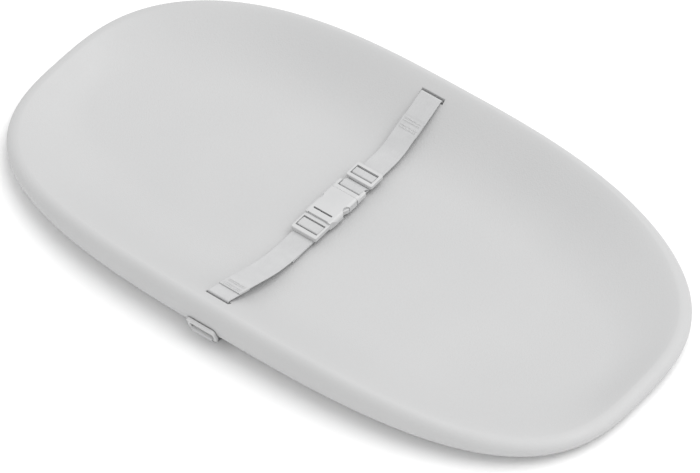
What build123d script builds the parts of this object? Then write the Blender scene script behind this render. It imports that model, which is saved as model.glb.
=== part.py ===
from build123d import *
from math import cos, pi, radians, sin
import os

# Baby changing pad: a dished, oval foam moulding with a webbing safety strap.
# Frame: +X along the pad, +Y across it, +Z up; origin on the floor, under the middle of the pad.
# All sizes in millimetres.

# Pad
HALF_LENGTH = 400.0
HALF_WIDTH = 210.0
OVAL_POWER = 2.9
FOOT_OVAL_POWER = 2.3
BASE_Z = 1.5
DISH_FLOOR_Z = 14.0
RIM_Z_SIDE = 58.0
RIM_Z_END = 27.0
RIM_RISE_POWER = 2.8
WIDEST_Z_SIDE = 38.0
WIDEST_Z_END = 19.0
TUCK_SIDE = 40.0
TUCK_END = 18.0
CREST_INSET = 12.0
DISH_SLOPE_SIDE = 104.0
DISH_SLOPE_END = 50.0
RING_POINTS = 56
WALL_STEPS = 5

# Grip feet
FOOT_RADIUS = 16.0
FOOT_HEIGHT = 3.4
FOOT_X = 240.0
FOOT_Y = 105.0

# Webbing and its way through the pad
STRAP_X = -22.0
WEBBING = 28.0
THICK = 1.2
SLOT_Y = 181.0
SLOT_WIDTH = 31.0
SLOT_GAP = 5.5
SLOT_MOUTH_Z = 51.0
GROOVE_TOP_Z = 4.6
GROOVE_OUT_Y = 192.0
NEAR_LAP_START = 18.0
FAR_LAP_START = 31.0
LAP_LENGTH = 16.0
LAP_GAP = 0.3
NEAR_BEND_Y = 95.0
NEAR_BEND_RADIUS = 150.0
FAR_BEND_Y = 112.0
FAR_BEND_RADIUS = 60.0
TAIL = 34.0
TAIL_END_Z = 3.0

# Outer rings, one at each end of the webbing
RING_Y = 207.3
RING_BAR_Z = 15.9
RING_LEAN = 16.0
RING_BAR_RADIUS = 2.25
RING_WIDTH = 38.0
RING_HEIGHT = 20.05
RING_THICK = 3.5
RING_POST = 3.6
RING_TOP_BAR = 7.0
WRAP_GAP = 0.3
WRAP_ANGLE = 52.0

# Side-release buckle; U is the distance along +Y from the socket's outer end, W the height
BUCKLE_Y = -42.0
BUCKLE_Z = 24.0
SOCKET_LENGTH = 70.0
LADDER_LENGTH = 28.0
LADDER_WIDTH = 34.0
BODY_WIDTH = 38.0
BODY_THICK = 11.0
LADDER_THICK = 6.0
LADDER_INNER = 29.2
CAVITY_WIDTH = 31.0
CAVITY_HEIGHT = 6.6
NOTCH_U = 51.5
NOTCH_RADIUS = 6.0
NOTCH_X = 20.6
BUCKLE_LENGTH = 86.0
PLUG_START_U = 70.4
PRONG_ROOT_U = 68.0
PRONG_THICK = 5.6

# Height of the strap and of its free tail at the buckle, and the slope up to each slot
MAIN_W = -3.2
TAIL_W = -4.6
STRAP_Z = BUCKLE_Z + MAIN_W
NEAR_SLOPE = (SLOT_MOUTH_Z - STRAP_Z) / (SLOT_Y - NEAR_BEND_Y)
FAR_SLOPE = (SLOT_MOUTH_Z - STRAP_Z) / (SLOT_Y - FAR_BEND_Y)

# Tri-glide slider on the far strap
SLIDER_START_U = 94.0
SLIDER_LENGTH = 22.0
SLIDER_WIDTH = 35.0


def rise(angle):
    """How far the rim has risen from its end height (0) to its side height (1)."""
    return abs(sin(angle)) ** RIM_RISE_POWER


def blend(end_value, side_value, angle):
    return end_value + (side_value - end_value) * rise(angle)


def oval(inset_x, inset_y, power, height):
    """A closed oval curve, pulled in from the pad's widest outline, at height(angle)."""
    points = []
    for k in range(RING_POINTS):
        angle = 2 * pi * k / RING_POINTS
        c = cos(angle)
        s = sin(angle)
        x = (HALF_LENGTH - inset_x) * abs(c) ** (2 / power) * (1 if c > 0 else -1)
        y = (HALF_WIDTH - inset_y) * abs(s) ** (2 / power) * (1 if s > 0 else -1)
        points.append((x, y, height(angle)))
    return Wire([Spline(points, periodic=True)])


def outer_wall_curves():
    """From the tucked-in base, out to the widest line and over to the rim's crest."""
    curves = []
    for step in range(WALL_STEPS + 1):
        turn = pi / 2 * step / WALL_STEPS
        out = 1 - sin(turn)
        up = 1 - cos(turn)
        curves.append(oval(TUCK_END * out, TUCK_SIDE * out, OVAL_POWER,
                           lambda a: BASE_Z + (blend(WIDEST_Z_END, WIDEST_Z_SIDE, a) - BASE_Z) * up))
    for step in range(1, WALL_STEPS + 1):
        turn = pi / 2 * step / WALL_STEPS
        inset = CREST_INSET * (1 - cos(turn))
        curves.append(oval(inset, inset, OVAL_POWER, lambda a: (
            blend(WIDEST_Z_END, WIDEST_Z_SIDE, a)
            + (blend(RIM_Z_END, RIM_Z_SIDE, a) - blend(WIDEST_Z_END, WIDEST_Z_SIDE, a)) * sin(turn))))
    return curves


def dish_curves():
    """From just inside the crest down to the flat floor of the dish."""
    curves = []
    for s in (0.98, 0.93, 0.86, 0.77, 0.66, 0.54, 0.42, 0.28, 0.14, 0.0):
        inset_x = CREST_INSET + DISH_SLOPE_END * (1 - s)
        inset_y = CREST_INSET + DISH_SLOPE_SIDE * (1 - s)
        power = FOOT_OVAL_POWER + (OVAL_POWER - FOOT_OVAL_POWER) * s
        lift = 1 - (1 - s * s) ** 1.3
        curves.append(oval(inset_x, inset_y, power, lambda a: (
            DISH_FLOOR_Z + (blend(RIM_Z_END, RIM_Z_SIDE, a) - DISH_FLOOR_Z) * lift)))
    return curves


def block(x_range, y_range, z_range):
    size = [high - low for low, high in (x_range, y_range, z_range)]
    middle = [(high + low) / 2 for low, high in (x_range, y_range, z_range)]
    return Pos(*middle) * Box(*size)


def feet():
    discs = []
    for x in (-FOOT_X, FOOT_X):
        for y in (-FOOT_Y, FOOT_Y):
            disc = Pos(x, y, FOOT_HEIGHT / 2) * Cylinder(FOOT_RADIUS, FOOT_HEIGHT)
            discs.append(chamfer(disc.edges().group_by(Axis.Z)[0], 0.6))
    return discs


def pad_body():
    body = Part() + Solid.make_loft(outer_wall_curves() + dish_curves(), ruled=True)
    half_slot = SLOT_WIDTH / 2
    for side in (-1, 1):
        slot_y = sorted((side * (SLOT_Y + 3.0), side * (SLOT_Y + 3.0 - SLOT_GAP)))
        groove_y = sorted((side * (SLOT_Y + 3.0 - SLOT_GAP), side * GROOVE_OUT_Y))
        across = (STRAP_X - half_slot, STRAP_X + half_slot)
        body -= block(across, slot_y, (-5, RIM_Z_SIDE + 5))
        body -= block(across, groove_y, (-5, GROOVE_TOP_Z))
    for foot in feet():
        body -= Pos(foot.center().X, foot.center().Y, 0) * Cylinder(
            FOOT_RADIUS, 2 * FOOT_HEIGHT)
    return body


def ribbon(points, radii, width=WEBBING, thick=THICK):
    """Flat webbing along a route of (Y, Z) points with rounded turns."""
    path = FilletPolyline(*[(0, y, z) for y, z in points], radius=radii)
    start = path @ 0
    plane = Plane(start, x_dir=(1, 0, 0), z_dir=path % 0)
    return Pos(STRAP_X, 0, 0) * sweep(plane * Rectangle(width, thick), path)


def buckle_route(points):
    """Route points given as (U, W) from the buckle, turned into (Y, Z)."""
    return [(BUCKLE_Y + u, BUCKLE_Z + w) for u, w in points]


def lap_lift(slope):
    """Vertical shift that puts one webbing layer on top of a sloping one, with the lap gap."""
    return (THICK + LAP_GAP) * (1 + slope * slope) ** 0.5


def round_bar(along, across):
    """A point near the ring's bar, measured along and across the way the webbing comes in."""
    turn = radians(WRAP_ANGLE)
    return (RING_Y + along * cos(turn) - across * sin(turn),
            RING_BAR_Z + along * sin(turn) + across * cos(turn))


def lap_start(side):
    return NEAR_LAP_START if side < 0 else FAR_LAP_START


def anchor_webbing(side, slope):
    """From the lap inside the dish, down through the pad and round the outer ring's bar."""
    wrap = RING_BAR_RADIUS + WRAP_GAP + THICK / 2
    inner_y = SLOT_Y - lap_start(side) - LAP_LENGTH
    points = [
        (inner_y, SLOT_MOUTH_Z - slope * (SLOT_Y - inner_y)),
        (SLOT_Y, SLOT_MOUTH_Z),
        (SLOT_Y, 2.3),
        (SLOT_Y + 8, 3.6),
        round_bar(-9.0, wrap),
        round_bar(wrap, wrap),
        round_bar(wrap, -wrap),
        round_bar(-8.5, -wrap),
        (SLOT_Y + 10, TAIL_END_Z),
    ]
    radii = [1.6, 1.6, 6.0, 10.0, wrap - 0.02, wrap - 0.02, 4.0]
    return ribbon([(side * y, z) for y, z in points], radii)


def near_strap():
    lift = lap_lift(NEAR_SLOPE)
    cut_y = -(SLOT_Y - NEAR_LAP_START)
    bend = [(cut_y, SLOT_MOUTH_Z - NEAR_SLOPE * (SLOT_Y + cut_y) + lift)]
    meet_y = -(NEAR_BEND_Y - lift / NEAR_SLOPE)
    ladder = buckle_route([
        (7.9, MAIN_W),
        (7.9, 1.8),
        (19.1, 1.8),
        (19.1, TAIL_W),
        (-TAIL, TAIL_W),
    ])
    return ribbon(bend + [(meet_y, STRAP_Z)] + ladder, [NEAR_BEND_RADIUS, 1, 1, 1, 1])


def far_strap():
    lift = lap_lift(FAR_SLOPE)
    cut_y = SLOT_Y - FAR_LAP_START
    start = [(cut_y, SLOT_MOUTH_Z - FAR_SLOPE * (SLOT_Y - cut_y) + lift)]
    meet_y = FAR_BEND_Y - lift / FAR_SLOPE
    glide = buckle_route([
        (111.0, -3.0),
        (109.0, 2.3),
        (101.0, 2.3),
        (99.0, -2.7),
        (94.5, -2.7),
        (87.5, 1.4),
        (79.6, 1.4),
        (79.6, -3.6),
        (94.0, -4.2),
        (100.0, -4.2),
        (103.0, -2.4),
        (107.9, -2.4),
        (107.9, 1.05),
        (103.2, 1.05),
    ])
    radii = [FAR_BEND_RADIUS, 1, 1, 1, 1, 2, 2, 1, 1, 4, 2, 2, 0.7, 0.7]
    return ribbon(start + [(meet_y, STRAP_Z + 0.2)] + glide, radii)


def tack_rows(side, slope):
    """Two rows of thread across a lap, as raised bars lying along the slope."""
    rows = []
    lift = lap_lift(slope) + (THICK / 2 + 0.4) * (1 + slope * slope) ** 0.5
    for back in (lap_start(side) + 4, lap_start(side) + 12):
        y = SLOT_Y - back
        z = SLOT_MOUTH_Z - slope * back + lift
        bar = Box(WEBBING - 5, 2.2, 0.5)
        tilt = side * Vector(0, 1, slope).get_angle(Vector(0, 1, 0))
        rows.append(Pos(STRAP_X, side * y, z) * Rot(X=tilt) * bar)
    return rows


def fold_tacks(side):
    """Thread across the folded-back end of the webbing, on its underside."""
    far_y, far_z = round_bar(-8.5, -(RING_BAR_RADIUS + WRAP_GAP + THICK / 2))
    slope = (far_z - TAIL_END_Z) / (far_y - SLOT_Y - 10)
    drop = (THICK / 2 + 0.5) * (1 + slope * slope) ** 0.5
    rows = []
    for out in (12.5, 15.5):
        z = TAIL_END_Z + slope * (out - 10) - drop
        tilt = side * Vector(0, 1, 0).get_angle(Vector(0, 1, slope))
        rows.append(Pos(STRAP_X, side * (SLOT_Y + out), z) * Rot(X=tilt) * Box(WEBBING - 5, 1.6, 0.4))
    return rows


def outer_ring(side):
    """Moulded rectangular ring whose round lower bar turns in the webbing's loop."""
    plate = Rectangle(RING_WIDTH, RING_HEIGHT)
    plate = fillet(plate.vertices(), 4.0)
    opening_tall = RING_HEIGHT - RING_TOP_BAR
    opening = Pos(0, -RING_TOP_BAR / 2 - 1) * Rectangle(RING_WIDTH - 2 * RING_POST, opening_tall + 2)
    frame = extrude(plate - opening, RING_THICK / 2, both=True)
    frame = fillet(frame.faces().filter_by(Plane.XY).edges(), 0.8)
    ring = Pos(0, 0, RING_HEIGHT / 2 - RING_BAR_RADIUS) * Rot(X=90) * frame
    ring += Rot(Y=90) * Cylinder(RING_BAR_RADIUS, RING_WIDTH - RING_POST)
    return Pos(STRAP_X, side * RING_Y, RING_BAR_Z) * Rot(X=-side * RING_LEAN) * ring


def buckle_place(shape):
    """Puts a shape modelled about (X, U, W) where the buckle lies."""
    return Pos(STRAP_X, BUCKLE_Y, BUCKLE_Z) * shape


def mirrored_pair(shape):
    return [shape, shape.mirror(Plane.YZ)]


def socket_plan():
    """The socket's plan: a shoulder, a waist with a round notch each side, and the mouth."""
    body = BODY_WIDTH / 2
    ladder = LADDER_WIDTH / 2
    half_plan = make_face(Polyline(
        (0, LADDER_LENGTH - 3),
        (ladder, LADDER_LENGTH - 3),
        (ladder, LADDER_LENGTH),
        (body, LADDER_LENGTH + 6),
        (body, LADDER_LENGTH + 14),
        (body - 1.0, NOTCH_U + 7),
        (body - 1.0, SOCKET_LENGTH),
        (0, SOCKET_LENGTH),
        close=True,
    ))
    plan = half_plan + mirror(half_plan, Plane.YZ)
    for x in (-1, 1):
        plan -= Pos(x * NOTCH_X, NOTCH_U) * Circle(NOTCH_RADIUS)
    return fillet(plan.vertices(), 0.9)


def long_section(width, thick, radius, start, end):
    """A rounded bar along the buckle, used to round the edges of what it meets."""
    section = RectangleRounded(width, thick, radius)
    return Pos(0, (start + end) / 2, 0) * Rot(X=90) * extrude(section, (end - start) / 2, both=True)


def ladder_frame(start, end, width):
    """Flat plate with softened edges that the webbing slots are cut through."""
    plate = extrude(RectangleRounded(width, end - start, 2.5), LADDER_THICK / 2, both=True)
    plate = fillet(plate.faces().filter_by(Plane.XY).edges(), 1.1)
    return Pos(0, (start + end) / 2, 0) * plate


def buckle_socket():
    body = extrude(socket_plan(), BODY_THICK / 2, both=True)
    body = body & long_section(BODY_WIDTH, BODY_THICK, 4.6, 0, SOCKET_LENGTH)
    half = CAVITY_WIDTH / 2
    high = CAVITY_HEIGHT / 2
    body -= block((-half, half), (LADDER_LENGTH + 4, SOCKET_LENGTH + 1), (-high, high))
    body -= block((-12.5, 12.5), (33.0, 35.2), (0, BODY_THICK))
    for x in (-1, 1):
        side = sorted((x * 10, x * 25))
        body -= block(side, (NOTCH_U - 6.5, NOTCH_U + 5.6), (-high, high))
    socket = body + ladder_frame(0, LADDER_LENGTH + 3, LADDER_WIDTH)
    inner = LADDER_INNER / 2
    socket -= block((-inner, inner), (6.2, 9.6), (-9, 9))
    socket -= block((-inner, inner), (17.4, 20.8), (-9, 9))
    socket -= block((-inner, inner), (5, 18.5), (1.1, 9))
    socket -= block((-inner, inner), (-1, 7), (-9, MAIN_W + 0.8))
    socket -= block((-13.5, 13.5), (25.0, 25.9), (LADDER_THICK / 2 - 0.5, 9))
    return buckle_place(socket)


def buckle_plug():
    body = BODY_WIDTH / 2
    plate = extrude(
        Pos(0, PLUG_START_U + 2.6) * RectangleRounded(BODY_WIDTH, 5.2, 1.2), BODY_THICK / 2, both=True)
    plate = plate & long_section(
        BODY_WIDTH - 0.6, BODY_THICK - 0.6, 4.3, PLUG_START_U - 1, BUCKLE_LENGTH)
    plug = plate + ladder_frame(PLUG_START_U + 2.6, BUCKLE_LENGTH, BODY_WIDTH - 1.6)
    inner = LADDER_INNER / 2
    plug -= block((-inner, inner), (76.0, 81.3), (-9, 9))
    plug -= block((-inner, inner), (80, 90), (0.6, 9))
    plug -= block((-inner, inner), (80, 90), (-9, -2.8))
    tongue = block((-4, 4), (40, PLUG_START_U + 1), (-2.6, 2.6))
    plug += chamfer(tongue.edges().group_by(Axis.Y)[0], 1.0)
    for x in (-1, 1):
        side = sorted((x * (body - 9.6), x * (body - 5.4)))
        plug += block(side, (PRONG_ROOT_U + 2.2, PLUG_START_U + 1), (-2.8, 2.8))
    return buckle_place(plug)


def prong_profile():
    """Plan of the prong on the +X side: root, arm and the barbed head that fills the notch."""
    arm = Polyline(
        (9.4, PRONG_ROOT_U + 1.4),
        (12.6, PRONG_ROOT_U + 1.4),
        (12.8, 56.6),
        (18.0, 56.6),
        (18.2, 54.0),
        (15.6, 48.0),
        (13.6, 45.4),
        (10.6, 45.0),
        (9.6, 47.0),
        close=True,
    )
    return make_face(arm)


def plug_prong():
    prong = extrude(prong_profile(), PRONG_THICK / 2, both=True)
    prong = fillet(prong.edges().filter_by(Axis.Z), 0.7)
    prong = fillet(prong.faces().filter_by(Plane.XY).edges(), 0.6)
    return prong


def strap_slider():
    """Tri-glide: two end bars and a lower centre bar between two rails."""
    middle_u = SLIDER_START_U + SLIDER_LENGTH / 2
    frame = extrude(
        Pos(0, middle_u) * RectangleRounded(SLIDER_WIDTH, SLIDER_LENGTH, 2.6), 2.5, both=True)
    frame = fillet(frame.faces().filter_by(Plane.XY).edges(), 1.0)
    frame = Pos(0, 0, 0.6) * frame
    inner = LADDER_INNER / 2
    first = SLIDER_START_U + 4.2
    last = SLIDER_START_U + SLIDER_LENGTH - 4.2
    frame -= block((-inner, inner), (first, last), (-9, 9))
    frame += block((-inner - 1, inner + 1), (103.2, 107.0), (-1.6, 0.3))
    return buckle_place(frame)


def write(name, shape):
    if isinstance(shape, list):
        shape = Compound(children=shape)
    shape.label = name
    export_step(shape, f"parts/{name}.step")


os.makedirs("parts", exist_ok=True)
write("pad_body", pad_body())
write("grip_feet", feet())
write("near_anchor_webbing", anchor_webbing(-1, NEAR_SLOPE))
write("far_anchor_webbing", anchor_webbing(1, FAR_SLOPE))
write("near_anchor_stitching", fold_tacks(-1))
write("far_anchor_stitching", fold_tacks(1))
write("near_outer_ring", outer_ring(-1))
write("far_outer_ring", outer_ring(1))
write("near_strap", near_strap())
write("near_lap_stitching", tack_rows(-1, NEAR_SLOPE))
write("far_strap", far_strap())
write("far_lap_stitching", tack_rows(1, FAR_SLOPE))
write("buckle_socket", buckle_socket())
write("buckle_plug", buckle_plug())
right_prong, left_prong = mirrored_pair(plug_prong())
write("plug_prong_right", buckle_place(right_prong))
write("plug_prong_left", buckle_place(left_prong))
write("strap_slider", strap_slider())
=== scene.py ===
import bmesh
import bpy
from math import ceil, cos, pi, radians, sin, tan
from mathutils import Matrix, Vector


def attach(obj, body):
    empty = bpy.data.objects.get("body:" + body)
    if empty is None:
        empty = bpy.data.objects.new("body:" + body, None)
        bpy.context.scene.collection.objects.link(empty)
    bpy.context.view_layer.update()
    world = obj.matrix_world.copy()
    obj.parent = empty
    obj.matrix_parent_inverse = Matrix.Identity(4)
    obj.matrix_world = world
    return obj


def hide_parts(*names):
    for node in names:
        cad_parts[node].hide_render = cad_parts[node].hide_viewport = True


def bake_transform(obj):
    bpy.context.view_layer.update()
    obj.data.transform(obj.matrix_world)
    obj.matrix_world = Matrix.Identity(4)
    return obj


# Baby changing pad. Metres; +X along the pad, +Y across it, +Z up.
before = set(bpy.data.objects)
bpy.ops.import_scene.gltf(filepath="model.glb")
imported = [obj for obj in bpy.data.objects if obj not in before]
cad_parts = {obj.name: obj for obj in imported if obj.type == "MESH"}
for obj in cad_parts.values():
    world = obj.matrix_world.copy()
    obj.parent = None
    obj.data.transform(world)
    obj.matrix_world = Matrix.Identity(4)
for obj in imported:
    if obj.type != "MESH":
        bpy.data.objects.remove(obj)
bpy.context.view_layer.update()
MM = 0.001

# The same sizes as the CAD, in millimetres; a pair is the size at the pad's ends and at its sides
HALF_LENGTH = 400.0
HALF_WIDTH = 210.0
OVAL_POWER = 2.9
FOOT_OVAL_POWER = 2.3
BASE_Z = 1.5
DISH_FLOOR_Z = 14.0
RIM_Z = (27.0, 58.0)
WIDEST_Z = (19.0, 38.0)
RIM_RISE_POWER = 2.8
TUCK = (18.0, 40.0)
CREST_INSET = 12.0
DISH_SLOPE = (50.0, 104.0)
FOOT_RADIUS = 16.0
FOOT_HEIGHT = 3.4
FOOT_X = 240.0
FOOT_Y = 105.0
STRAP_X = -22.0
WEBBING = 28.0
THICK = 1.2
SLOT_Y = 181.0
SLOT_WIDTH = 31.0
SLOT_GAP = 5.5
SLOT_OUTER_Y = SLOT_Y + 3.0
SLOT_INNER_Y = SLOT_OUTER_Y - SLOT_GAP
GROOVE_OUT_Y = 192.0
GROOVE_TOP_Z = 4.6
SLOT_MOUTH_Z = 51.0

# Webbing; side -1 is the near end and 1 the far end. Heights W are measured from the buckle's middle
LAP_START = {-1: 18.0, 1: 31.0}
LAP_LENGTH = 16.0
LAP_GAP = 0.3
BUCKLE_Y = -42.0
BUCKLE_Z = 24.0
MAIN_W = -3.2
TAIL_W = -4.6
TAIL = 34.0
STRAP_Z = BUCKLE_Z + MAIN_W
NEAR_BEND_Y = 95.0
NEAR_BEND_RADIUS = 150.0
FAR_BEND_Y = 112.0
FAR_BEND_RADIUS = 60.0
NEAR_SLOPE = (SLOT_MOUTH_Z - STRAP_Z) / (SLOT_Y - NEAR_BEND_Y)
FAR_SLOPE = (SLOT_MOUTH_Z - STRAP_Z) / (SLOT_Y - FAR_BEND_Y)

# The outer rings' bars, and the webbing's middle line round them
RING_Y = 207.3
RING_BAR_Z = 15.9
WRAP = 3.15
WRAP_START = -9.0
WRAP_END = -8.5
WRAP_ANGLE = 52.0
TAIL_END = (191.0, 3.0)


# ---------------------------------------------------------------- node materials

def new_material(name):
    material = bpy.data.materials.new(name)
    material.use_nodes = True
    nodes = material.node_tree.nodes
    return material, nodes, material.node_tree.links, nodes["Principled BSDF"]


def noise(nodes, links, coords, scale, detail=2.0, roughness=0.5):
    node = nodes.new("ShaderNodeTexNoise")
    node.inputs["Scale"].default_value = scale
    node.inputs["Detail"].default_value = detail
    node.inputs["Roughness"].default_value = roughness
    links.new(coords, node.inputs["Vector"])
    return node.outputs["Fac"]


def ranged(nodes, links, value, low, high, from_low=0.3, from_high=0.7):
    node = nodes.new("ShaderNodeMapRange")
    node.inputs["From Min"].default_value = from_low
    node.inputs["From Max"].default_value = from_high
    node.inputs["To Min"].default_value = low
    node.inputs["To Max"].default_value = high
    links.new(value, node.inputs["Value"])
    return node.outputs["Result"]


def two_tone(nodes, links, factor, dark, light):
    node = nodes.new("ShaderNodeMix")
    node.data_type = "RGBA"
    node.inputs["A"].default_value = (*dark, 1)
    node.inputs["B"].default_value = (*light, 1)
    links.new(factor, node.inputs["Factor"])
    return node.outputs["Result"]


def bump(nodes, links, height, distance, strength, base=None):
    node = nodes.new("ShaderNodeBump")
    node.inputs["Distance"].default_value = distance
    node.inputs["Strength"].default_value = strength
    links.new(height, node.inputs["Height"])
    if base is not None:
        links.new(base, node.inputs["Normal"])
    return node.outputs["Normal"]


def math_node(nodes, links, operation, a, b=None):
    node = nodes.new("ShaderNodeMath")
    node.operation = operation
    for socket, value in zip(node.inputs, (a, b)):
        if isinstance(value, (int, float)):
            socket.default_value = value
        elif value is not None:
            links.new(value, socket)
    return node.outputs[0]


def foam_skin_material():
    """Moulded foam skin: fine pebbled grain, soft unevenness and slight tone drift."""
    material, nodes, links, shader = new_material("foam_skin_grain")
    coords = nodes.new("ShaderNodeTexCoord").outputs["Object"]
    drift = noise(nodes, links, coords, 7.0, 3.0)
    speck = noise(nodes, links, coords, 420.0, 2.0)
    tone = math_node(nodes, links, "ADD", math_node(nodes, links, "MULTIPLY", drift, 0.75),
                math_node(nodes, links, "MULTIPLY", speck, 0.25))
    links.new(two_tone(nodes, links, ranged(nodes, links, tone, 0, 1),
                       (0.530, 0.532, 0.534), (0.552, 0.553, 0.554)), shader.inputs["Base Color"])
    grain = nodes.new("ShaderNodeTexVoronoi")
    grain.feature = "SMOOTH_F1"
    grain.inputs["Scale"].default_value = 620.0
    grain.inputs["Smoothness"].default_value = 0.6
    links.new(coords, grain.inputs["Vector"])
    pebble = bump(nodes, links, grain.outputs["Distance"], 0.00025, 0.5)
    fine = bump(nodes, links, noise(nodes, links, coords, 2400.0, 2.0), 0.00008, 0.35, pebble)
    soft = bump(nodes, links, noise(nodes, links, coords, 14.0, 2.0, 0.4), 0.002, 0.06, fine)
    links.new(soft, shader.inputs["Normal"])
    links.new(ranged(nodes, links, noise(nodes, links, coords, 35.0, 3.0), 0.50, 0.64),
              shader.inputs["Roughness"])
    return material


def webbing_material():
    """Woven webbing: warp cords across the width, each crossed by weft picks in turn, with painted shade in
    the hollows between them.
    """
    material, nodes, links, shader = new_material("woven_webbing")
    uv = nodes.new("ShaderNodeUVMap")
    uv.uv_map = "weave"
    split = nodes.new("ShaderNodeSeparateXYZ")
    links.new(uv.outputs["UV"], split.inputs[0])
    cord_at = math_node(nodes, links, "MULTIPLY", split.outputs[0], 1 / (1.15 * MM))
    pick_at = math_node(nodes, links, "MULTIPLY", split.outputs[1], 1 / (1.9 * MM))
    offset = math_node(nodes, links, "MULTIPLY", math_node(nodes, links, "FLOOR", cord_at), 0.5)
    cord = math_node(nodes, links, "ABSOLUTE", math_node(
        nodes, links, "SINE", math_node(nodes, links, "MULTIPLY", cord_at, pi)))
    pick = math_node(nodes, links, "ABSOLUTE", math_node(nodes, links, "SINE", math_node(
        nodes, links, "MULTIPLY", math_node(nodes, links, "ADD", pick_at, offset), pi)))
    height = math_node(nodes, links, "MULTIPLY", cord, math_node(
        nodes, links, "ADD", math_node(nodes, links, "MULTIPLY", pick, 0.55), 0.45))
    coords = nodes.new("ShaderNodeTexCoord").outputs["Object"]
    fibre = noise(nodes, links, coords, 3500.0, 2.0)
    wear = noise(nodes, links, coords, 60.0, 3.0)
    # Painted shade: the colour darkens where the weave's height is low, between cords and picks; the wear
    # noise adds a random tone on top.
    tone = math_node(nodes, links, "ADD", math_node(nodes, links, "MULTIPLY", height, 0.7),
                math_node(nodes, links, "MULTIPLY", wear, 0.5))
    links.new(two_tone(nodes, links, ranged(nodes, links, tone, 0, 1, 0.1, 0.9),
                       (0.46, 0.463, 0.468), (0.60, 0.602, 0.605)), shader.inputs["Base Color"])
    woven = bump(nodes, links, height, 0.00022, 0.8)
    links.new(bump(nodes, links, fibre, 0.00006, 0.5, woven), shader.inputs["Normal"])
    links.new(ranged(nodes, links, fibre, 0.74, 0.9), shader.inputs["Roughness"])
    shader.inputs["Sheen Weight"].default_value = 0.12
    return material


def grained_material(name, dark, light, grain, depth, rough_low, rough_high, drift=30.0):
    """Moulded plastic or rubber: fine mould texture with drifting tone and gloss."""
    material, nodes, links, shader = new_material(name)
    coords = nodes.new("ShaderNodeTexCoord").outputs["Object"]
    wander = noise(nodes, links, coords, drift, 3.0)
    links.new(two_tone(nodes, links, ranged(nodes, links, wander, 0, 1), dark, light),
              shader.inputs["Base Color"])
    texture = noise(nodes, links, coords, grain, 3.0, 0.6)
    links.new(bump(nodes, links, texture, depth, 0.4), shader.inputs["Normal"])
    links.new(ranged(nodes, links, noise(nodes, links, coords, drift * 6, 3.0), rough_low, rough_high),
              shader.inputs["Roughness"])
    return material


SKIN = foam_skin_material()
WEAVE = webbing_material()
PLASTIC = grained_material("moulded_acetal", (0.555, 0.557, 0.560), (0.600, 0.601, 0.603), 1800.0,
                           0.00006, 0.32, 0.46)
RUBBER = grained_material("foot_rubber_grain", (0.085, 0.085, 0.088), (0.12, 0.12, 0.122), 900.0,
                          0.0002, 0.7, 0.85)
THREAD = grained_material("polyester_thread", (0.56, 0.56, 0.565), (0.68, 0.68, 0.68), 4000.0,
                          0.00008, 0.5, 0.7, 300.0)


# ---------------------------------------------------------------- mesh helpers

def make_object(name, points, faces, material, smooth=True):
    mesh = bpy.data.meshes.new(name)
    mesh.from_pydata([Vector(p) * MM for p in points], [], faces)
    mesh.validate()
    if smooth:
        mesh.shade_smooth()
    mesh.materials.append(material)
    made = bpy.data.objects.new(name, mesh)
    bpy.context.scene.collection.objects.link(made)
    return made


def rounded_route(points, radii):
    """Polyline in (Y, Z) with an arc of the given radius at each inner corner."""
    route = [Vector(points[0])]
    for before, corner, after, radius in zip(points, points[1:], points[2:], radii):
        a, b, c = Vector(before), Vector(corner), Vector(after)
        inward = (a - b).normalized()
        outward = (c - b).normalized()
        half = inward.angle(outward) / 2
        reach = radius / tan(half)
        middle = b + (inward + outward).normalized() * (radius / sin(half))
        first = b + inward * reach - middle
        turn = first.angle_signed(b + outward * reach - middle)
        steps = max(3, ceil(abs(turn) / radians(9)))
        for k in range(steps + 1):
            angle = -turn * k / steps
            route.append(middle + Vector((first.x * cos(angle) - first.y * sin(angle),
                                          first.x * sin(angle) + first.y * cos(angle))))
    route.append(Vector(points[-1]))
    return route


def divided(route, longest=2.5):
    """The same route with points no further apart than longest."""
    fine = [route[0]]
    for a, b in zip(route, route[1:]):
        span = (b - a).length
        if span < 1e-6:
            continue
        for k in range(1, ceil(span / longest) + 1):
            fine.append(a.lerp(b, k / ceil(span / longest)))
    return fine


def web_section():
    """Closed section of the webbing as (across, height): flat face, fuller selvedge, round edge."""
    half = WEBBING / 2
    across = (0, 0.25, 0.5, 0.72, 0.84, 0.9, 0.95, 0.985)
    full = (0.96, 0.96, 0.96, 0.96, 0.95, 1.0, 1.0, 0.8)
    right = [(half * a, THICK / 2 * f) for a, f in zip(across, full)]
    top = [(-x, z) for x, z in reversed(right[1:])] + right
    edge = [(half, 0.0)]
    return top + edge + [(x, -z) for x, z in reversed(top)] + [(-half, 0.0)]


def ribbon(name, points, radii):
    route = divided(rounded_route(points, radii))
    section = web_section()
    count = len(section)
    vertices = []
    lengths = [0.0]
    for k, here in enumerate(route):
        before = route[max(k - 1, 0)]
        after = route[min(k + 1, len(route) - 1)]
        along = (after - before).normalized()
        up = Vector((-along.y, along.x))
        if k:
            lengths.append(lengths[-1] + (here - before).length)
        for across, height in section:
            point = here + up * height
            vertices.append((STRAP_X + across, point.x, point.y))
    faces = []
    for k in range(len(route) - 1):
        for j in range(count):
            n = (j + 1) % count
            faces.append((k * count + j, (k + 1) * count + j, (k + 1) * count + n, k * count + n))
    faces.append(tuple(range(count)))
    faces.append(tuple(reversed(range((len(route) - 1) * count, len(route) * count))))
    made = make_object(name, vertices, faces, WEAVE)
    mesh = made.data
    layer = mesh.uv_layers.new(name="weave")
    for loop in mesh.loops:
        row, column = divmod(loop.vertex_index, count)
        layer.data[loop.index].uv = ((section[column][0] + WEBBING) * MM, lengths[row] * MM)
    mesh.set_sharp_from_angle(angle=radians(60))
    return made, lengths[-1] * MM


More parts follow.
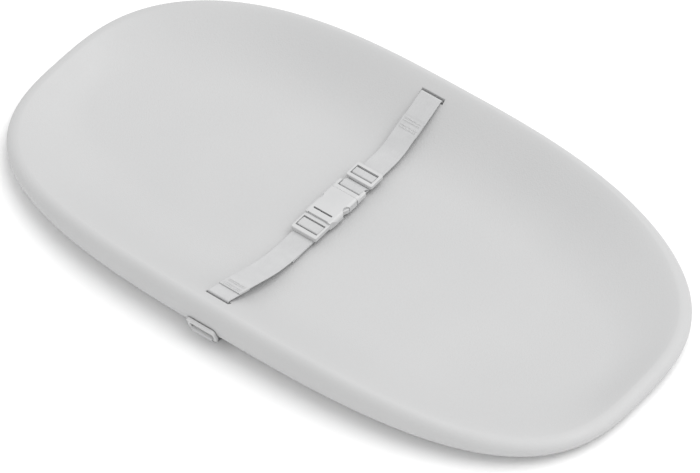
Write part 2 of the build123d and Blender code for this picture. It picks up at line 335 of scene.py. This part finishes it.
def tube(path, radius, sides=8):
    """Round thread along a path of 3-D points."""
    vertices = []
    for k, here in enumerate(path):
        along = (path[min(k + 1, len(path) - 1)] - path[max(k - 1, 0)]).normalized()
        side = along.cross(Vector((0, 0, 1))).normalized()
        up = side.cross(along)
        size = radius * (0.35 if k in (0, len(path) - 1) else 1.0)
        for j in range(sides):
            angle = 2 * pi * j / sides
            vertices.append(here + (side * cos(angle) + up * sin(angle)) * size)
    faces = []
    for k in range(len(path) - 1):
        for j in range(sides):
            n = (j + 1) % sides
            faces.append((k * sides + j, k * sides + n, (k + 1) * sides + n, (k + 1) * sides + j))
    faces.append(tuple(reversed(range(sides))))
    faces.append(tuple(range((len(path) - 1) * sides, len(path) * sides)))
    return vertices, faces


def bar_tacks(name, rows, slope, side):
    """Zigzag thread rows, each lying on webbing that slopes across the pad."""
    vertices = []
    faces = []
    width = WEBBING - 6
    stitches = 22
    for y, z in rows:
        path = []
        for k in range(stitches * 4 + 1):
            turn = k / 4
            sway = 1.0 - abs((turn % 2) - 1) * 2
            dip = 0.12 * cos(2 * pi * turn)
            across = -width / 2 + width * k / (stitches * 4)
            out = sway * 0.95
            path.append(Vector((STRAP_X + across, side * (y + out), z + out * slope - dip * 0.5)))
        some, sides = tube(path, 0.26)
        base = len(vertices)
        vertices += some
        faces += [tuple(base + i for i in face) for face in sides]
    made = make_object(name, vertices, faces, THREAD)
    return made


# ---------------------------------------------------------------- the pad

def side_rise(angle):
    return abs(sin(angle)) ** RIM_RISE_POWER


def between(pair, angle):
    return pair[0] + (pair[1] - pair[0]) * side_rise(angle)


def ring(inset_x, inset_y, power, height, count):
    points = []
    for k in range(count):
        angle = 2 * pi * k / count
        c, s = cos(angle), sin(angle)
        x = (HALF_LENGTH - inset_x) * abs(c) ** (2 / power) * (1 if c > 0 else -1)
        y = (HALF_WIDTH - inset_y) * abs(s) ** (2 / power) * (1 if s > 0 else -1)
        points.append((x, y, height(angle)))
    return points


def pad_rings(count):
    rings = [ring(TUCK[0] + 12, TUCK[1] + 12, OVAL_POWER, lambda a: BASE_Z, count)]
    wall = 12
    for k in range(wall + 1):
        turn = pi / 2 * k / wall
        out, up = 1 - sin(turn), 1 - cos(turn)
        rings.append(ring(TUCK[0] * out, TUCK[1] * out, OVAL_POWER,
                          lambda a: BASE_Z + (between(WIDEST_Z, a) - BASE_Z) * up, count))
    for k in range(1, wall + 1):
        turn = pi / 2 * k / wall
        inset, up = CREST_INSET * (1 - cos(turn)), sin(turn)
        rings.append(ring(inset, inset, OVAL_POWER, lambda a: (
            between(WIDEST_Z, a) + (between(RIM_Z, a) - between(WIDEST_Z, a)) * up), count))
    slope = 34
    for k in range(1, slope + 1):
        s = cos(pi / 2 * k / slope)
        lift = 1 - (1 - s * s) ** 1.3
        rings.append(ring(
            CREST_INSET + DISH_SLOPE[0] * (1 - s), CREST_INSET + DISH_SLOPE[1] * (1 - s),
            FOOT_OVAL_POWER + (OVAL_POWER - FOOT_OVAL_POWER) * s,
            lambda a: DISH_FLOOR_Z + (between(RIM_Z, a) - DISH_FLOOR_Z) * lift, count))
    return rings


def flat_fan(rings, index, steps, inner, faces, points, upward):
    """Fills an oval ring with shrinking copies of itself and a centre point."""
    count = len(rings[index])
    last = index * count
    for k in range(1, steps + 1):
        scale = 1 - (1 - inner) * k / steps
        start = len(points)
        points.extend((x * scale, y * scale, z) for x, y, z in rings[index])
        for j in range(count):
            n = (j + 1) % count
            face = (last + j, last + n, start + n, start + j)
            faces.append(face if upward else face[::-1])
        last = start
    centre = len(points)
    points.append((0, 0, rings[index][0][2]))
    for j in range(count):
        n = (j + 1) % count
        face = (last + j, last + n, centre)
        faces.append(face if upward else face[::-1])


def extruded(outline, low, high, place):
    """A closed solid from a counter-clockwise outline, between two heights along place's third axis."""
    count = len(outline)
    points = [place(u, v, w) for w in (low, high) for u, v in outline]
    walls = [(k, (k + 1) % count, count + (k + 1) % count, count + k) for k in range(count)]
    return points, walls + [tuple(range(count - 1, -1, -1)), tuple(range(count, 2 * count))]


def cutters():
    """Slots through the pad with the grooves under them, and the four foot recesses."""
    parts = []
    half = SLOT_WIDTH / 2
    below = -5
    above = RIM_Z[1] + 12
    way = [(SLOT_INNER_Y, below), (GROOVE_OUT_Y, below), (GROOVE_OUT_Y, GROOVE_TOP_Z),
           (SLOT_OUTER_Y, GROOVE_TOP_Z), (SLOT_OUTER_Y, above), (SLOT_INNER_Y, above)]
    parts.append(extruded(way, STRAP_X - half, STRAP_X + half, lambda u, v, w: (w, u, v)))
    parts.append(extruded([(-u, v) for u, v in reversed(way)], STRAP_X - half, STRAP_X + half,
                          lambda u, v, w: (w, u, v)))
    sides = 48
    circle = [(FOOT_RADIUS * cos(2 * pi * k / sides), FOOT_RADIUS * sin(2 * pi * k / sides))
              for k in range(sides)]
    for x in (-FOOT_X, FOOT_X):
        for y in (-FOOT_Y, FOOT_Y):
            rim = [(x + u, y + v) for u, v in circle]
            parts.append(extruded(rim, below, FOOT_HEIGHT, lambda u, v, w: (u, v, w)))
    points = []
    faces = []
    for some, walls in parts:
        base = len(points)
        points += some
        faces += [tuple(base + i for i in face) for face in walls]
    return make_object("cutter", points, faces, SKIN, smooth=False)


def soften_slot_lips(mesh):
    """Rounds the edge where each slot meets the dish."""
    work = bmesh.new()
    work.from_mesh(mesh)
    lips = []
    reach_x = (SLOT_WIDTH / 2 + 0.2) * MM
    reach_y = (SLOT_GAP / 2 + 0.35) * MM
    slot_middle = (SLOT_INNER_Y + SLOT_OUTER_Y) / 2 * MM
    in_dish = 30 * MM
    sharp = 0.6
    for edge in work.edges:
        middle = (edge.verts[0].co + edge.verts[1].co) / 2
        near_slot = abs(middle.x - STRAP_X * MM) < reach_x and abs(abs(middle.y) - slot_middle) < reach_y
        if near_slot and middle.z > in_dish and len(edge.link_faces) == 2 and edge.calc_face_angle() > sharp:
            lips.append(edge)
    bmesh.ops.bevel(work, geom=lips, offset=1.1 * MM, segments=3, profile=0.5, affect="EDGES",
                    clamp_overlap=True)
    work.to_mesh(mesh)
    work.free()


def build_pad():
    count = 480
    fill_steps = 8
    fill_inner = 0.1
    rings = pad_rings(count)
    points = [p for loop in rings for p in loop]
    faces = []
    for r in range(len(rings) - 1):
        for j in range(count):
            n = (j + 1) % count
            faces.append((r * count + j, r * count + n, (r + 1) * count + n, (r + 1) * count + j))
    flat_fan(rings, len(rings) - 1, fill_steps, fill_inner, faces, points, True)
    flat_fan(rings, 0, fill_steps, fill_inner, faces, points, False)
    pad = make_object("foam_pad", points, faces, SKIN)
    cutter = cutters()
    cut = pad.modifiers.new("cut", "BOOLEAN")
    cut.operation = "DIFFERENCE"
    cut.solver = "EXACT"
    cut.object = cutter
    shaped = bpy.data.meshes.new_from_object(pad.evaluated_get(bpy.context.evaluated_depsgraph_get()))
    pad.modifiers.clear()
    pad.data = shaped
    bpy.data.objects.remove(cutter)
    soften_slot_lips(shaped)
    shaped.shade_smooth()
    shaped.set_sharp_from_angle(angle=radians(42))
    return pad


pad = build_pad()
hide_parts("pad_body")
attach(pad, "pad")


# ---------------------------------------------------------------- webbing

def lap_lift(slope):
    """Vertical shift that puts one layer of webbing on top of a sloping one."""
    return (THICK + LAP_GAP) * (1 + slope * slope) ** 0.5


def round_bar(along, across):
    """A point near the ring's bar, measured along and across the way the webbing comes in."""
    turn = radians(WRAP_ANGLE)
    return (RING_Y + along * cos(turn) - across * sin(turn),
            RING_BAR_Z + along * sin(turn) + across * cos(turn))


def anchor_route(side, slope):
    inner = SLOT_Y - LAP_START[side] - LAP_LENGTH
    points = [(inner, SLOT_MOUTH_Z - slope * (SLOT_Y - inner)), (SLOT_Y, SLOT_MOUTH_Z), (SLOT_Y, 2.3),
              (SLOT_Y + 8, 3.6), round_bar(WRAP_START, WRAP), round_bar(WRAP, WRAP), round_bar(WRAP, -WRAP),
              round_bar(WRAP_END, -WRAP), TAIL_END]
    radii = [1.6, 1.6, 6.0, 10.0, WRAP - 0.02, WRAP - 0.02, 4.0]
    return [(side * y, z) for y, z in points], radii


def near_route():
    lift = lap_lift(NEAR_SLOPE)
    points = [
        (-(SLOT_Y - LAP_START[-1]), SLOT_MOUTH_Z - NEAR_SLOPE * LAP_START[-1] + lift),
        (-(NEAR_BEND_Y - lift / NEAR_SLOPE), STRAP_Z),
    ]
    ladder = [(7.9, MAIN_W), (7.9, 1.8), (19.1, 1.8), (19.1, TAIL_W), (-TAIL, TAIL_W)]
    return points + [(BUCKLE_Y + u, BUCKLE_Z + w) for u, w in ladder], [NEAR_BEND_RADIUS, 1, 1, 1, 1]


def far_route():
    lift = lap_lift(FAR_SLOPE)
    points = [
        (SLOT_Y - LAP_START[1], SLOT_MOUTH_Z - FAR_SLOPE * LAP_START[1] + lift),
        (FAR_BEND_Y - lift / FAR_SLOPE, STRAP_Z + 0.2),
    ]
    glide = [(111.0, -3.0), (109.0, 2.3), (101.0, 2.3), (99.0, -2.7), (94.5, -2.7), (87.5, 1.4),
             (79.6, 1.4), (79.6, -3.6), (94.0, -4.2), (100.0, -4.2), (103.0, -2.4), (107.9, -2.4),
             (107.9, 1.05), (103.2, 1.05)]
    radii = [FAR_BEND_RADIUS, 1, 1, 1, 1, 2, 2, 1, 1, 4, 2, 2, 0.7, 0.7]
    return points + [(BUCKLE_Y + u, BUCKLE_Z + w) for u, w in glide], radii


def lap_rows(side, slope):
    lift = lap_lift(slope) + (THICK / 2 + 0.2) * (1 + slope * slope) ** 0.5
    return [(SLOT_Y - back, SLOT_MOUTH_Z - slope * back + lift)
            for back in (LAP_START[side] + d for d in (3, 6, 11, 13.5))]


# Anchor webbing with its fold and lap thread on each side, then the two straps
for side, word, slope in ((-1, "near", NEAR_SLOPE), (1, "far", FAR_SLOPE)):
    anchor, length = ribbon(f"{word}_anchor_ribbon", *anchor_route(side, slope))
    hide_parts(f"{word}_anchor_webbing")
    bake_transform(anchor)
    tail_y, tail_z = round_bar(WRAP_END, -WRAP)
    rising = (tail_z - TAIL_END[1]) / (tail_y - TAIL_END[0])
    tacks = bar_tacks(f"{word}_fold_thread",
                      [(TAIL_END[0] + out, TAIL_END[1] + rising * out - 0.85) for out in (2.5, 5.5)],
                      rising, side)
    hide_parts(f"{word}_anchor_stitching")
    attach(tacks, "pad")
    lap = bar_tacks(f"{word}_lap_thread", lap_rows(side, slope), slope, side)
    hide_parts(f"{word}_lap_stitching")
    if side < 0:
        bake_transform(lap)
    else:
        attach(lap, "strap")

near, length = ribbon("near_strap_ribbon", *near_route())
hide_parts("near_strap")
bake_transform(near)
far, length = ribbon("far_strap_ribbon", *far_route())
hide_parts("far_strap")
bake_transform(far)


# ---------------------------------------------------------------- carried-over nodes

def dress(node, material):
    """Gives a CAD node its material and leaves its mesh alone."""
    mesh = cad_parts[node].data
    mesh.materials.clear()
    mesh.materials.append(material)


for node in ("near_outer_ring", "far_outer_ring", "buckle_socket", "buckle_plug",
             "plug_prong_right", "plug_prong_left", "strap_slider"):
    dress(node, PLASTIC)
dress("grip_feet", RUBBER)


# ---------------------------------------------------------------- floor, light and camera

def plain_floor():
    material, nodes, links, shader = new_material("studio_floor")
    shader.inputs["Base Color"].default_value = (0.98, 0.98, 0.98, 1)
    shader.inputs["Roughness"].default_value = 0.9
    shader.inputs["Specular IOR Level"].default_value = 0.1
    square = [(-6000, -6000), (6000, -6000), (6000, 6000), (-6000, 6000)]
    points, faces = extruded(square, -20, 0, lambda u, v, w: (u, v, w))
    floor_slab = make_object("studio_floor", points, faces, material, smooth=False)


plain_floor()
world = bpy.data.worlds.new("studio")
world.use_nodes = True
world.node_tree.nodes["Background"].inputs["Color"].default_value = (1, 1, 1, 1)
world.node_tree.nodes["Background"].inputs["Strength"].default_value = 0.80
bpy.context.scene.world = world

key = bpy.data.lights.new("key", "SUN")
key.energy = 1.45
key.angle = radians(50)
key_lamp = bpy.data.objects.new("key", key)
key_lamp.rotation_euler = Vector((0.32, 0.26, 0.92)).to_track_quat("Z", "Y").to_euler()
bpy.context.scene.collection.objects.link(key_lamp)
bpy.context.scene.view_settings.view_transform = "Standard"

AZIMUTH, ELEVATION, ROLL = radians(41.08), radians(47.33), radians(3.18)
DISTANCE = 6.418
TARGET = Vector((0.0019, 0.0005, 0.040))
back = Vector((sin(AZIMUTH) * cos(ELEVATION), -cos(AZIMUTH) * cos(ELEVATION), sin(ELEVATION)))
camera_data = bpy.data.cameras.new("camera")
camera_data.sensor_width = 36.0
camera_data.lens = 311.25
camera_data.shift_x = 0.0072
camera_data.shift_y = -0.0374
camera_data.clip_end = 50.0
camera = bpy.data.objects.new("camera", camera_data)
right = Vector((cos(AZIMUTH), sin(AZIMUTH), 0))
turned = Matrix((right, back.cross(right), back)).transposed().to_4x4()
camera.matrix_world = (Matrix.Translation(TARGET + back * DISTANCE) @ turned
                       @ Matrix.Rotation(-ROLL, 4, "Z"))
bpy.context.scene.collection.objects.link(camera)
bpy.context.scene.camera = camera
